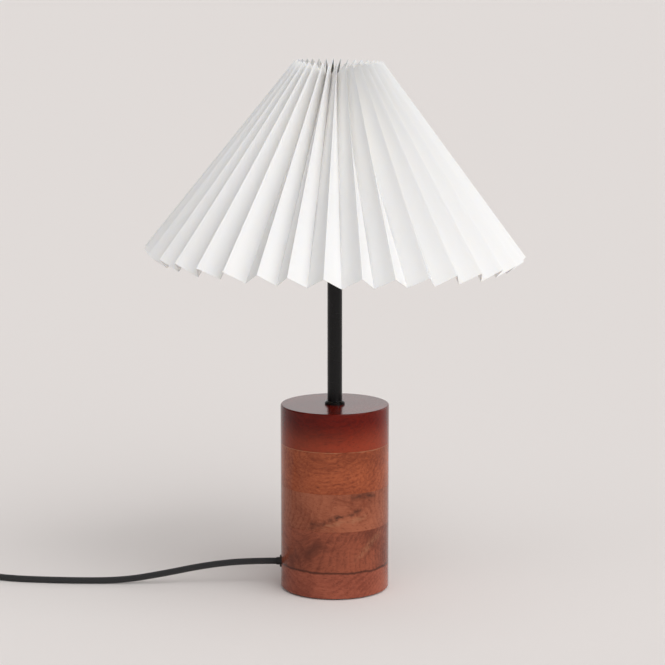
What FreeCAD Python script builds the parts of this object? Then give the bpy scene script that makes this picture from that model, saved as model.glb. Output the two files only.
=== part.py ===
import FreeCAD, Part
import math
import os

# Pleated paper table lamp. Millimetres, +Z up, origin on the table at the centre of the base.
# The cord leaves the base along -X.

os.makedirs("parts", exist_ok=True)

# ---------------------------------------------------------------- wooden base
base_dia = 100.0
board_heights = [24.2, 38.5, 35.5, 39.0, 35.3]   # glued boards, from the bottom up
recess_boards = 2                                # the hollow goes through this many boards
base_edge_round = 1.2
seam_chamfer = 0.12
recess_dia = 54.0
pad_dia = 88.0
pad_thick = 2.0
pad_proud = 1.0
cover_dia = 66.0
cover_thick = 3.0
cover_screw_dia = 3.0
cover_screw_head = 6.0
cover_screw_length = 12.0
cover_screw_count = 3
seat_clear = 0.2                                 # round the pad and the cover in their rebates

# ---------------------------------------------------------------- rod, nut, stem
rod_dia = 10.0
rod_wall = 1.1
rod_below_nut = 4.0
nut_flats = 17.0
nut_height = 5.0
washer_dia = 30.0
washer_thick = 2.0
slip_clear = 0.1                                 # radial, bores that slip over the rod and the tube
stem_dia = 13.6
stem_wall = 1.5
stem_length = 130.5
collar_dia = 18.5
collar_height = 3.0
collar_bevel = 1.3

# ---------------------------------------------------------------- lampholder, E27 size
cap_dia = 39.0
cap_height = 20.0
cap_boss_dia = 16.0
cap_boss_height = 5.0
cap_wall = 2.2
mantle_dia = 39.0
mantle_height = 42.0
mantle_wall = 2.5
mouth_dia = 28.6
mouth_height = 27.0
flange_dia = 47.0
flange_thick = 3.0
flange_rise = 3.0
insert_height = 8.0
insert_clear = 0.2
insert_pocket_dia = 18.0
insert_pocket_depth = 2.0
clamp_ring_dia = 55.0
clamp_ring_height = 8.0
clamp_ring_ribs = 24
clamp_ring_rib = 1.2
ring_clear = 0.1                                 # radial, rings on the mantle

# ---------------------------------------------------------------- bulb, G45 with E27 cap
bulb_dia = 45.0
bulb_neck_dia = 24.0
bulb_length = 78.0
bulb_glass_wall = 0.9
bulb_cap_dia = 26.2
bulb_cap_height = 24.0
bulb_cap_wall = 0.8
bulb_cap_waves = 5
bulb_cap_wave = 0.7
bulb_insulator_dia = 19.0
bulb_insulator_height = 3.0
bulb_contact_dia = 9.0
bulb_contact_height = 1.5

# ---------------------------------------------------------------- shade carrier
fitter_dia = 66.0
fitter_thick = 2.0
leg_dia = 3.0
leg_count = 3
leg_turn = 90.0                                  # direction of the first leg
leg_foot_radius = 30.0
leg_bow_radius = 40.0
leg_bow_low = 26.0                               # heights above the fitter ring
leg_bow_high = 78.0
top_ring_drop = 8.8                              # along the fold, from the neck edge to the ring's rim
top_ring_width = 5.0
top_ring_thick = 2.0

# ---------------------------------------------------------------- pleated paper shade
pleats = 36
pleat_turn = -92.9                               # direction of one outer fold
fold_neck_radius = 39.2                          # outer folds at the neck and at the hem
fold_neck_height = 488.0
fold_hem_radius = 173.5
fold_hem_height = 315.0
pleat_depth_neck = 19.5
pleat_depth_hem = 16.4
paper_sheets = 12                                # strips glued end to end in inner folds
paper_thick = 0.4                                # at the hem
paper_thick_neck = 0.18                          # at the neck, where the folds are pressed thin
paper_seat = 0.3                                 # between the paper and what carries it
drawstring_dia = 1.6
drawstring_drop = 2.5                            # along the fold, below the neck edge

# ---------------------------------------------------------------- cord and what is on it
cord_dia = 6.0
cord_exit_height = 23.8
bushing_flange_dia = 11.5
bushing_flange_thick = 1.7
bushing_sleeve_dia = 8.2
bushing_tail_dia = 7.2
bushing_tail_end_dia = 6.9
bushing_tail_length = 3.2
bushing_inner_proud = 1.0
bore_clear = 0.1                                 # radial, round the cord and the bushing
flange_seat_depth = 0.5
stop_dia = 13.0
stop_length = 8.0
stop_screw_dia = 3.0
inner_bend = 18.0
inner_end_below_insert = 14.0
lead_dia = 2.0
lead_spread = 1.6
terminal_dia = 5.0
terminal_height = 4.5
terminal_offset = 8.0

switch_start = -366.0                            # end nearest the lamp
switch_y = 34.0
switch_length = 62.0
switch_width = 26.0
switch_height = 18.0
switch_split = 10.0
switch_wall = 2.0
switch_corner = 9.0
switch_edge = 2.5
switch_cord_height = 7.0
rocker_length = 17.2
rocker_width = 11.0
rocker_rise = 5.2
rocker_dip = 1.8
rocker_tilt = 12.0
rocker_pivot_height = 13.5
rocker_belly = 1.5
rocker_clear = 0.3
pivot_dia = 2.0
pivot_clear = 0.05
lug_thick = 2.0
switch_screw_dia = 3.0
switch_screw_head = 5.6
switch_screw_offset = 24.0

plug_start = -432.0                              # cord end of the plug
plug_y = -72.0
plug_length = 36.0
plug_width = 35.0
plug_thick = 14.0
plug_neck_width = 12.0
plug_neck_length = 13.0
plug_edge = 2.2
pin_dia = 4.0
pin_length = 19.0
pin_spacing = 19.0
pin_root = 7.0
pin_root_dia = 3.0
pin_tip = 1.2
plug_height = plug_thick / 2

coil_x = -512.0
coil_entry_y = 25.0
coil_mid_dia = 64.4                              # across the middle of the turns
coil_lanes = 3
coil_turns = 6.5
coil_pitch = 6.5
tie_thick = 1.0
tie_width = 8.0
tie_gap = 0.3
tie_side_gap = 0.7

# Route of the cord from the bushing to the switch, chosen by eye; it lies on the table.
lamp_run_route = [
    (-84.0, 0.0, 23.8),
    (-122.0, 1.6, 19.0),
    (-161.0, 3.2, 10.4),
    (-200.0, 6.4, 3.0),
    (-250.0, 6.4, 3.0),
    (-303.0, 12.6, 3.0),
    (-330.0, 25.0, 3.0),
    (-348.0, 34.0, 7.0),
]
plug_run_route = [
    (-452.0, 34.0, 7.0),
    (-482.0, 25.0, 4.3),
]
tail_route = [
    (-482.0, -60.5, 10.8),
    (-456.0, -72.0, 7.0),
]

# ---------------------------------------------------------------- places worked out from the sizes
base_radius = base_dia / 2
board_floors = [pad_proud + sum(board_heights[:count]) for count in range(len(board_heights))]
base_top = pad_proud + sum(board_heights)
recess_top = board_floors[recess_boards]
washer_z = recess_top - washer_thick
nut_z = washer_z - nut_height
rod_z = nut_z - rod_below_nut
cap_z = base_top + stem_length
cap_top = cap_z + cap_height
mantle_top = cap_top + mantle_height
flange_top = cap_top + flange_rise + flange_thick
fitter_top = flange_top + fitter_thick
mouth_floor = mantle_top - mouth_height
insert_z = mouth_floor - insert_height - insert_clear
flange_seat_x = -(base_radius - flange_seat_depth)
flange_face_x = flange_seat_x - bushing_flange_thick
bushing_mouth_x = flange_face_x - bushing_tail_length
bushing_inner_x = -(recess_dia / 2 - bushing_inner_proud)
stop_end_x = bushing_inner_x + stop_length
bulb_contact_z = mantle_top - bulb_cap_height + 0.5 - bulb_insulator_height - bulb_contact_height
bulb_cap_z = bulb_contact_z + bulb_contact_height + bulb_insulator_height
bulb_cap_top = bulb_cap_z + bulb_cap_height
bulb_top = bulb_contact_z + bulb_length
cord_radius = cord_dia / 2
coil_low = tie_thick + tie_gap + cord_radius
coil_high = coil_low + coil_pitch
coil_outer = coil_mid_dia / 2 + coil_pitch * coil_turns / 4
coil_y = coil_entry_y - coil_outer


def at(x, y, z):
    return FreeCAD.Vector(x, y, z)


UP = at(0, 0, 1)
ALONG = at(1, 0, 0)
ACROSS = at(0, 1, 0)


def save(node, shape):
    """Write one sub-part and say how big it is."""
    shape.exportStep("parts/" + node + ".step")
    solids = shape.Solids
    print(node, "solids", len(solids), "volume", round(shape.Volume, 1), "valid", shape.isValid())


def lathe(outline):
    """Turn a closed outline of (radius, height) points about the Z axis."""
    points = [at(radius, 0, height) for radius, height in outline]
    face = Part.Face(Part.makePolygon(points + points[:1]))
    return face.revolve(at(0, 0, 0), UP, 360)


def ring(outer, inner, low, high):
    """A flat ring between two diameters and two heights."""
    body = Part.makeCylinder(outer / 2, high - low, at(0, 0, low))
    return body.cut(Part.makeCylinder(inner / 2, high - low, at(0, 0, low)))


def spread(shape, count, first=0.0, centre=at(0, 0, 0)):
    """Copies of a shape at even steps about the Z axis."""
    copies = []
    for step in range(count):
        copy = shape.copy()
        copy.rotate(centre, UP, first + 360.0 * step / count)
        copies.append(copy)
    return copies


def joined(shapes):
    return Part.makeCompound(shapes)


# ---------------------------------------------------------------- tubes along a route
def route_path(points):
    """Straight runs joined by tangent arcs, each as large as its two runs allow."""
    corners = [at(*point) for point in points]
    edges = []
    radii = []
    start = corners[0]
    for before, corner, after in zip(corners, corners[1:], corners[2:]):
        way_in = (corner - before).normalize()
        way_out = (after - corner).normalize()
        half_turn = way_in.getAngle(way_out) / 2
        setback = 0.45 * min((corner - before).Length, (after - corner).Length)
        radius = setback / math.tan(half_turn)
        inward = (way_out - way_in).normalize()
        first = corner - way_in * setback
        last = corner + way_out * setback
        middle = corner + inward * (radius / math.cos(half_turn) - radius)
        edges.append(Part.LineSegment(start, first).toShape())
        edges.append(Part.Arc(first, middle, last).toShape())
        radii.append(round(radius, 1))
        start = last
    edges.append(Part.LineSegment(start, corners[-1]).toShape())
    return Part.Wire(edges), radii


def tube_on(path, diameter):
    """A round tube swept along a path."""
    edge = path.OrderedEdges[0]
    start = edge.valueAt(edge.FirstParameter)
    heading = edge.tangentAt(edge.FirstParameter)
    section = Part.Wire(Part.makeCircle(diameter / 2, start, heading))
    tube = path.makePipeShell([section], True, False)
    return tube


def free_tube(name, points):
    """A stretch of the cord along chosen points."""
    path, radii = route_path(points)
    tube = tube_on(path, cord_dia)
    section = math.pi * cord_radius ** 2
    print(name, "length", round(path.Length, 1), "radii", radii,
          "volume ratio", round(tube.Volume / (section * path.Length), 4),
          "lowest", round(tube.BoundBox.ZMin, 2))
    return tube


def lead_tube(points, diameter):
    path, radii = route_path(points)
    print("lead radii", radii)
    return tube_on(path, diameter)


# ---------------------------------------------------------------- base
def base_board(index):
    """One turned board of the base; the lowest ones are rings round the hollow."""
    floor = board_floors[index]
    height = board_heights[index]
    board = Part.makeCylinder(base_radius, height, at(0, 0, floor))
    for edge_height, is_end in ((floor, index == 0), (floor + height, index == len(board_heights) - 1)):
        rim = [edge for edge in board.Edges
               if abs(edge.BoundBox.ZMin - edge_height) < 0.01 and abs(edge.BoundBox.ZMax - edge_height) < 0.01]
        if is_end:
            board = board.makeFillet(base_edge_round, rim)
        else:
            board = board.makeChamfer(seam_chamfer, rim)
    if index < recess_boards:
        board = board.cut(Part.makeCylinder(recess_dia / 2, height, at(0, 0, floor)))
    else:
        board = board.cut(Part.makeCylinder(rod_dia / 2 + slip_clear, height, at(0, 0, floor)))
    if index == 0:
        board = board.cut(Part.makeCylinder(pad_dia / 2 + seat_clear, pad_thick, at(0, 0, 0)))
        board = board.cut(Part.makeCylinder(cover_dia / 2 + seat_clear, cover_thick, at(0, 0, pad_thick)))
        board = board.cut(joined(cover_screw_shanks(slip_clear)))
    board = board.cut(bushing_hole())
    return board


def bushing_hole():
    """The drilled hole for the cord bushing with its flat seat for the flange."""
    start = at(-base_radius - 1, 0, cord_exit_height)
    seat_depth = flange_seat_x - start.x
    drill_depth = base_radius + 1 - recess_dia / 4
    drill = Part.makeCylinder(bushing_sleeve_dia / 2 + bore_clear, drill_depth, start, ALONG)
    seat = Part.makeCylinder(bushing_flange_dia / 2 + seat_clear, seat_depth, start, ALONG)
    return drill.fuse(seat)


def cover_screw_places():
    radius = (recess_dia + cover_dia) / 4
    return [at(radius, 0, pad_thick)]


def cover_screw_shanks(clear):
    shank = Part.makeCylinder(cover_screw_dia / 2 + clear, cover_screw_length, cover_screw_places()[0])
    return spread(shank, cover_screw_count, 30)


def cover_screw_heads(clear):
    head_height = (cover_screw_head - cover_screw_dia) / 2
    cone = Part.makeCone(cover_screw_head / 2 + clear, cover_screw_dia / 2 + clear, head_height,
                         cover_screw_places()[0])
    return spread(cone, cover_screw_count, 30)


def base_cover():
    cover = Part.makeCylinder(cover_dia / 2, cover_thick, at(0, 0, pad_thick))
    cover = cover.cut(joined(cover_screw_shanks(slip_clear)))
    return cover.cut(joined(cover_screw_heads(slip_clear)))


def cover_screws():
    """Countersunk screws that hold the cover, each with a cross slot."""
    screws = []
    for shank, head in zip(cover_screw_shanks(0), cover_screw_heads(0)):
        screw = shank.fuse(head).removeSplitter()
        centre = head.BoundBox.Center
        for turn in (0, 90):
            slot = Part.makeBox(3.4, 0.8, 1.0, at(centre.x - 1.7, centre.y - 0.4, pad_thick))
            slot.rotate(at(centre.x, centre.y, 0), UP, turn)
            screw = screw.cut(slot)
        screws.append(screw)
    return joined(screws)


# ---------------------------------------------------------------- rod and stem
def hexagon_nut(flats, bore, low, high):
    radius = flats / 2 / math.cos(math.pi / 6)
    corners = [at(radius * math.cos(math.radians(60 * side)), radius * math.sin(math.radians(60 * side)), low)
               for side in range(7)]
    nut = Part.Face(Part.makePolygon(corners)).extrude(at(0, 0, high - low))
    bevel = (radius - flats / 2) * 0.9
    round_body = lathe([(0, low), (radius - bevel, low), (radius + 0.1, low + bevel), (radius + 0.1, high), (0, high)])
    return nut.common(round_body).cut(Part.makeCylinder(bore / 2, high - low, at(0, 0, low)))


def threaded_rod():
    top = cap_z + cap_boss_height
    return ring(rod_dia, rod_dia - 2 * rod_wall, rod_z, top)


def stem_tube():
    return ring(stem_dia, stem_dia - 2 * stem_wall, base_top, cap_z)


def stem_collar():
    """Turned foot ring of the stem, bevelled at its top."""
    bore = stem_dia / 2 + slip_clear
    outer = collar_dia / 2
    top = base_top + collar_height
    return lathe([(bore, base_top), (outer, base_top), (outer, top - collar_bevel),
                  (outer - collar_bevel, top), (bore, top)])


# ---------------------------------------------------------------- lampholder
def holder_cap():
    """Domed lower half of the lampholder, with the threaded boss that stands on the stem."""
    boss = cap_boss_dia / 2
    outer = cap_dia / 2
    bore = rod_dia / 2
    boss_top = cap_z + cap_boss_height
    shoulder = cap_z + cap_height * 0.62
    bulge = at(outer * 0.82, 0, cap_z + cap_height * 0.36)
    outside = [
        Part.LineSegment(at(bore, 0, cap_z), at(boss, 0, cap_z)),
        Part.LineSegment(at(boss, 0, cap_z), at(boss, 0, cap_z + cap_boss_height * 0.5)),
        Part.Arc(at(boss, 0, cap_z + cap_boss_height * 0.5), bulge, at(outer, 0, shoulder)),
        Part.LineSegment(at(outer, 0, shoulder), at(outer, 0, cap_top)),
        Part.LineSegment(at(outer, 0, cap_top), at(outer - cap_wall, 0, cap_top)),
        Part.LineSegment(at(outer - cap_wall, 0, cap_top), at(outer - cap_wall, 0, shoulder)),
        Part.LineSegment(at(outer - cap_wall, 0, shoulder), at(boss, 0, boss_top)),
        Part.LineSegment(at(boss, 0, boss_top), at(bore, 0, boss_top)),
        Part.LineSegment(at(bore, 0, boss_top), at(bore, 0, cap_z)),
    ]
    face = Part.Face(Part.Wire([line.toShape() for line in outside]))
    return face.revolve(at(0, 0, 0), UP, 360)


def holder_mantle():
    """Upper half of the lampholder: flange for the carrier, threaded mantle and mouth."""
    outer = mantle_dia / 2
    flange = flange_dia / 2
    chamber = outer - mantle_wall
    mouth = mouth_dia / 2
    flange_low = cap_top + flange_rise
    lip = 1.0
    return lathe([
        (chamber, cap_top), (outer, cap_top), (outer, flange_low), (flange, flange_low + 0.6),
        (flange, flange_top), (outer, flange_top), (outer, mantle_top - lip), (outer - lip, mantle_top),
        (mouth + lip, mantle_top), (mouth, mantle_top - lip), (mouth, mouth_floor), (chamber, mouth_floor),
    ])


def holder_insert():
    """Contact carrier that fills the chamber under the mouth."""
    radius = mantle_dia / 2 - mantle_wall - insert_clear
    disc = Part.makeCylinder(radius, insert_height, at(0, 0, insert_z))
    pocket_z = insert_z + insert_height - insert_pocket_depth
    pocket = Part.makeCylinder(insert_pocket_dia / 2, insert_pocket_depth, at(0, 0, pocket_z))
    return disc.cut(pocket)


def centre_contact():
    """Springy brass tongue under the middle of the bulb."""
    floor = insert_z + insert_height - insert_pocket_depth
    top = bulb_contact_z
    foot = Part.makeBox(9.0, 4.0, 0.5, at(-7.0, -2.0, floor))
    post = Part.makeBox(0.5, 4.0, top - floor, at(-2.5, -2.0, floor))
    tip = Part.makeBox(6.0, 4.0, 0.5, at(-2.5, -2.0, top - 0.5))
    return foot.fuse(post).fuse(tip).removeSplitter()


def side_contacts():
    """Two brass strips that reach up beside the bulb's threaded cap."""
    floor = insert_z + insert_height
    strip_x = mouth_dia / 2 - 0.7
    foot = Part.makeBox(3.4, 5.0, 0.5, at(strip_x - 3.0, -2.5, floor))
    strip = Part.makeBox(0.4, 5.0, 8.0, at(strip_x, -2.5, floor))
    contact = foot.fuse(strip).removeSplitter()
    return joined(spread(contact, 2, 90))


def terminals():
    """Two brass terminal blocks under the contact carrier."""
    block = Part.makeCylinder(terminal_dia / 2, terminal_height,
                              at(terminal_offset, 0, insert_z - terminal_height))
    slot = Part.makeBox(terminal_dia, 0.8, 1.0,
                        at(terminal_offset - terminal_dia / 2, -0.4, insert_z - terminal_height))
    return joined(spread(block.cut(slot), 2))


def clamp_ring():
    """Ribbed ring that screws down on the mantle and clamps the carrier."""
    outer = clamp_ring_dia / 2
    low = fitter_top
    high = low + clamp_ring_height
    body = lathe([(0, low), (outer, low), (outer, high - 1.2), (outer - 1.2, high), (0, high)])
    groove = Part.makeCylinder(clamp_ring_rib, clamp_ring_height, at(outer + 0.4, 0, low + 1.5))
    for copy in spread(groove, clamp_ring_ribs):
        body = body.cut(copy)
    bore = Part.makeCylinder(mantle_dia / 2 + ring_clear, clamp_ring_height, at(0, 0, low))
    return body.cut(bore)


# ---------------------------------------------------------------- bulb
def bulb_glass():
    """Small round opal bulb, blown thin, open where its cap is cemented on."""
    def profile(inset):
        radius = bulb_dia / 2 - inset
        neck = bulb_neck_dia / 2 - inset
        centre = bulb_top - bulb_dia / 2
        reach = math.sqrt(radius ** 2 - (neck + 2) ** 2)
        join = centre - reach
        top = at(0, 0, centre + radius)
        side = at(radius, 0, centre)
        start = at(neck + 2, 0, join)
        base = at(neck, 0, bulb_cap_top)
        sweep = math.radians(-45)
        between = at(radius * math.cos(sweep), 0, centre + radius * math.sin(sweep))
        crown = at(radius * math.cos(-sweep), 0, centre - radius * math.sin(sweep))
        edges = [
            Part.LineSegment(at(0, 0, bulb_cap_top), base),
            Part.LineSegment(base, start),
            Part.Arc(start, between, side),
            Part.Arc(side, crown, top),
            Part.LineSegment(top, at(0, 0, bulb_cap_top)),
        ]
        face = Part.Face(Part.Wire([edge.toShape() for edge in edges]))
        return face.revolve(at(0, 0, 0), UP, 360)
    return profile(0).cut(profile(bulb_glass_wall))


def bulb_cap():
    """Screw cap: a thin brass cup whose wall waves like its thread."""
    outer = bulb_cap_dia / 2
    step = (bulb_cap_height - 5.0) / bulb_cap_waves
    low = bulb_cap_z + 3.0
    outside = [(bulb_insulator_dia / 2, bulb_cap_z), (outer - bulb_cap_wave, low)]
    for wave in range(bulb_cap_waves):
        outside.append((outer, low + step * (wave + 0.35)))
        outside.append((outer, low + step * (wave + 0.65)))
        outside.append((outer - bulb_cap_wave, low + step * (wave + 1)))
    outside.append((outer - bulb_cap_wave, bulb_cap_top))
    inside = [(radius - bulb_cap_wall, height) for radius, height in reversed(outside)]
    return lathe(outside + inside)


def bulb_insulator():
    radius = bulb_insulator_dia / 2
    low = bulb_cap_z - bulb_insulator_height
    contact = bulb_contact_dia / 2
    return lathe([(0, low), (contact, low), (radius - bulb_cap_wall, bulb_cap_z), (0, bulb_cap_z)])


def bulb_contact():
    radius = bulb_contact_dia / 2
    top = bulb_contact_z + bulb_contact_height
    return lathe([(0, bulb_contact_z), (radius - 1.0, bulb_contact_z), (radius, bulb_contact_z + 0.7),
                  (radius, top), (0, top)])


# ---------------------------------------------------------------- shade
fold_length = math.hypot(fold_hem_radius - fold_neck_radius, fold_neck_height - fold_hem_height)
fold_way = ((fold_hem_radius - fold_neck_radius) / fold_length, (fold_hem_height - fold_neck_height) / fold_length)
fold_inward = (fold_way[1], -fold_way[0])        # square to the outer fold, towards the axis and down


def inward_of(radius, height, depth):
    return radius + fold_inward[0] * depth, height + fold_inward[1] * depth


def wall_depth(radius, depth, thickness):
    """How far the paper's inner skin lies behind its outer skin, measured square to the fold."""
    half_pleat = math.pi / pleats
    inner_radius = inward_of(radius, 0, depth)[0]
    half_angle = math.atan2(inner_radius * math.sin(half_pleat), depth)
    return thickness / math.sin(half_angle)


wall_neck = wall_depth(fold_neck_radius, pleat_depth_neck, paper_thick_neck)
wall_hem = wall_depth(fold_hem_radius, pleat_depth_hem, paper_thick)


def fold_ends(depth_neck, depth_hem):
    """A fold line's end points as (radius, height), at the neck and at the hem."""
    return (inward_of(fold_neck_radius, fold_neck_height, depth_neck),
            inward_of(fold_hem_radius, fold_hem_height, depth_hem))


valley_inner_neck, valley_inner_hem = fold_ends(pleat_depth_neck + wall_neck, pleat_depth_hem + wall_hem)


def valley_height(radius):
    """Height of the inner folds' inner skin at a radius."""
    share = (radius - valley_inner_neck[0]) / (valley_inner_hem[0] - valley_inner_neck[0])
    return valley_inner_neck[1] + share * (valley_inner_hem[1] - valley_inner_neck[1])


def fold_line(fold):
    """Corners of the wall along one fold: outer skin at neck and hem, then inner skin; odd folds are inner."""
    ridge = (fold_ends(0, 0), fold_ends(wall_neck, wall_hem))
    valley = (fold_ends(pleat_depth_neck, pleat_depth_hem), (valley_inner_neck, valley_inner_hem))
    outer, inner = ridge if fold % 2 == 0 else valley
    turn = math.radians(pleat_turn + 180.0 / pleats * fold)
    return [at(radius * math.cos(turn), radius * math.sin(turn), height) for radius, height in outer + inner]


def ruled(first_start, first_end, second_start, second_end):
    first = Part.LineSegment(first_start, first_end).toShape()
    second = Part.LineSegment(second_start, second_end).toShape()
    return Part.makeRuledSurface(first, second)


def paper_sheet(first_fold, last_fold):
    """One pleated strip: twisted panels between its folds, closed at both ends."""
    lines = [fold_line(fold) for fold in range(first_fold, last_fold + 1)]
    faces = [ruled(line[0], line[1], line[2], line[3]) for line in (lines[0], lines[-1])]
    for near, far in zip(lines, lines[1:]):
        for start, end in ((0, 1), (2, 3), (0, 2), (1, 3)):
            faces.append(ruled(near[start], near[end], far[start], far[end]))
    shell = Part.makeShell(faces)
    shell.sewShape()
    solid = Part.makeSolid(Part.Shell(shell.Faces))
    if solid.Volume < 0:
        solid.reverse()
    return solid


def shade_paper():
    """The pleated strips, which meet end to end in inner folds all round the lamp."""
    seams = [2 * round(pleats * sheet / paper_sheets) - 1 for sheet in range(paper_sheets + 1)]
    return joined([paper_sheet(first, last) for first, last in zip(seams, seams[1:])])


def drawstring():
    """Cord loop that gathers the inner folds at the neck."""
    radius, height = valley_inner_neck
    offset = drawstring_dia / 2 + paper_seat
    ring_radius = radius + fold_way[0] * drawstring_drop + fold_inward[0] * offset
    ring_height = height + fold_way[1] * drawstring_drop + fold_inward[1] * offset
    return Part.makeTorus(ring_radius, drawstring_dia / 2, at(0, 0, ring_height))


# ---------------------------------------------------------------- carrier
top_ring_radius = valley_inner_neck[0] + fold_way[0] * top_ring_drop
top_ring_high = valley_height(top_ring_radius) - paper_seat / abs(fold_inward[0])
top_ring_low = top_ring_high - top_ring_thick


def fitter_ring():
    return ring(fitter_dia, mantle_dia + 2 * ring_clear, flange_top, fitter_top)


def carrier_legs():
    """Bowed wire legs between the fitter ring and the top ring."""
    head_radius = top_ring_radius - top_ring_width / 2
    route = [
        (leg_foot_radius, 0, fitter_top),
        (leg_foot_radius, 0, fitter_top + 0.4 * leg_bow_low),
        (leg_bow_radius, 0, fitter_top + leg_bow_low),
        (leg_bow_radius, 0, fitter_top + leg_bow_high),
        (head_radius, 0, top_ring_low - 0.4 * leg_bow_low),
        (head_radius, 0, top_ring_low),
    ]
    return joined(spread(lead_tube(route, leg_dia), leg_count, leg_turn))


def top_ring():
    return ring(2 * top_ring_radius, 2 * (top_ring_radius - top_ring_width), top_ring_low, top_ring_high)


# ---------------------------------------------------------------- cord entry
def lengthwise(shape, x, y, z):
    """Lay a piece that was turned about Z along +X, with its start at the given point."""
    shape.rotate(at(0, 0, 0), ACROSS, 90)
    shape.translate(at(x, y, z))
    return shape


def cable_bushing():
    """Flanged bushing: sleeve in the wood, flange on its seat, short tail round the cord."""
    bore = cord_radius + bore_clear
    sleeve = bushing_sleeve_dia / 2
    tail = bushing_tail_dia / 2
    tail_end = bushing_tail_end_dia / 2
    flange = bushing_flange_dia / 2
    tail_top = bushing_tail_length
    flange_top_at = tail_top + bushing_flange_thick
    end = bushing_inner_x - bushing_mouth_x
    body = lathe([
        (bore, 0), (tail_end, 0), (tail, 1.5), (tail, tail_top), (flange - 0.5, tail_top),
        (flange, tail_top + 0.5), (flange, flange_top_at), (sleeve, flange_top_at), (sleeve, end), (bore, end),
    ])
    return lengthwise(body, bushing_mouth_x, 0, cord_exit_height)


def cord_stop():
    body = ring(stop_dia, cord_dia + 2 * bore_clear, 0, stop_length)
    body = lengthwise(body, bushing_inner_x, 0, cord_exit_height)
    return body.cut(stop_screw_body(slip_clear))


def stop_screw_body(clear):
    middle = (bushing_inner_x + stop_end_x) / 2
    low = cord_exit_height + cord_radius + 0.05
    return Part.makeCylinder(stop_screw_dia / 2 + clear, cord_exit_height + stop_dia / 2 - low, at(middle, 0, low))


def inner_cable():
    """The cord inside the lamp: through the bushing, round a bend and up the rod."""
    top = insert_z - inner_end_below_insert
    start = at(bushing_mouth_x, 0, cord_exit_height)
    bend_start = at(-inner_bend, 0, cord_exit_height)
    bend_end = at(0, 0, cord_exit_height + inner_bend)
    share = math.sqrt(0.5)
    bend_mid = at(-inner_bend * (1 - share), 0, cord_exit_height + inner_bend * (1 - share))
    path = Part.Wire([
        Part.LineSegment(start, bend_start).toShape(),
        Part.Arc(bend_start, bend_mid, bend_end).toShape(),
        Part.LineSegment(bend_end, at(0, 0, top)).toShape(),
    ])
    return tube_on(path, cord_dia)


def lead_wires():
    """The cord's two stripped leads, from its end to the terminals."""
    foot = insert_z - inner_end_below_insert
    head = insert_z - terminal_height
    rise = (head - foot) / 4
    route = [
        (lead_spread, 0, foot),
        (lead_spread, 0, foot + rise),
        (terminal_offset, 0, head - rise),
        (terminal_offset, 0, head),
    ]
    return joined(spread(lead_tube(route, lead_dia), 2))


# ---------------------------------------------------------------- switch on the cord
switch_x = switch_start - switch_length / 2


def rounded_block(length, width, low, high, corner):
    """A block with rounded upright corners, centred on the switch."""
    block = Part.makeBox(length, width, high - low, at(switch_x - length / 2, switch_y - width / 2, low))
    upright = [edge for edge in block.Edges if abs(edge.BoundBox.ZLength - (high - low)) < 0.01]
    return block.makeFillet(corner, upright)


def switch_case(low, high, soft_height):
    """Outside of one half of the switch, with its outer rim rounded."""
    block = rounded_block(switch_length, switch_width, low, high, switch_corner)
    rim = [edge for edge in block.Edges
           if abs(edge.BoundBox.ZMin - soft_height) < 0.01 and abs(edge.BoundBox.ZMax - soft_height) < 0.01]
    return block.makeFillet(switch_edge, rim)


def switch_cavity():
    inset = 2 * switch_wall
    return rounded_block(switch_length - inset, switch_width - inset, switch_wall, switch_height - switch_wall,
                         switch_corner - switch_wall)


def switch_screw_posts(radius, low, high):
    return [Part.makeCylinder(radius, high - low, at(switch_x + side * switch_screw_offset, switch_y, low))
            for side in (-1, 1)]


def cord_holes():
    """Round cord openings through the end walls."""
    start = at(switch_start - switch_length - 1, switch_y, switch_cord_height)
    return Part.makeCylinder(cord_radius + bore_clear, switch_length + 2, start, ALONG)


def switch_lower():
    body = switch_case(0, switch_split, 0)
    body = body.cut(switch_cavity())
    floor = switch_wall
    post_top = switch_cord_height - cord_radius - 0.2
    for post in switch_screw_posts(switch_screw_head / 2 + 0.8, 0.3, post_top):
        body = body.fuse(post)
    for bore in switch_screw_posts(switch_screw_dia / 2 + slip_clear, 0, switch_split):
        body = body.cut(bore)
    for well in switch_screw_posts(switch_screw_head / 2 + slip_clear, 0, floor):
        body = body.cut(well)
    return body.cut(cord_holes()).removeSplitter()


def rocker_window():
    reach = math.hypot(rocker_length / 2, rocker_rise) + rocker_clear
    half_width = rocker_width / 2 + rocker_clear
    return Part.makeBox(2 * reach, 2 * half_width, switch_height, at(switch_x - reach, switch_y - half_width, switch_split))


def switch_upper():
    body = switch_case(switch_split, switch_height, switch_height)
    body = body.cut(switch_cavity())
    lug_low = rocker_pivot_height - pivot_dia * 1.5
    for side in (-1, 1):
        near = switch_y + side * (rocker_width / 2 + rocker_clear)
        lug = Part.makeBox(6.0, lug_thick, switch_height - switch_wall / 2 - lug_low,
                           at(switch_x - 3.0, min(near, near + side * lug_thick), lug_low))
        body = body.fuse(lug)
    for post in switch_screw_posts(switch_screw_dia / 2 + 1.2, switch_cord_height + cord_radius + 0.2,
                                   switch_height - switch_wall / 2):
        body = body.fuse(post)
    for bore in switch_screw_posts(switch_screw_dia / 2 + slip_clear, 0, switch_height - switch_wall - 1.0):
        body = body.cut(bore)
    body = body.cut(rocker_window())
    body = body.cut(pivot_pin_body(pivot_clear))
    return body.cut(cord_holes()).removeSplitter()


def switch_screws():
    screws = []
    top = switch_height - switch_wall - 1.2
    for shank, head in zip(switch_screw_posts(switch_screw_dia / 2, switch_wall - 0.3, top),
                           switch_screw_posts(switch_screw_head / 2, 0.3, switch_wall - 0.1)):
        screw = shank.fuse(head).removeSplitter()
        centre = head.BoundBox.Center
        slot = Part.makeBox(switch_screw_head, 0.8, 0.8, at(centre.x - switch_screw_head / 2, centre.y - 0.4, 0.3))
        screws.append(screw.cut(slot))
    return joined(screws)


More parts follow.
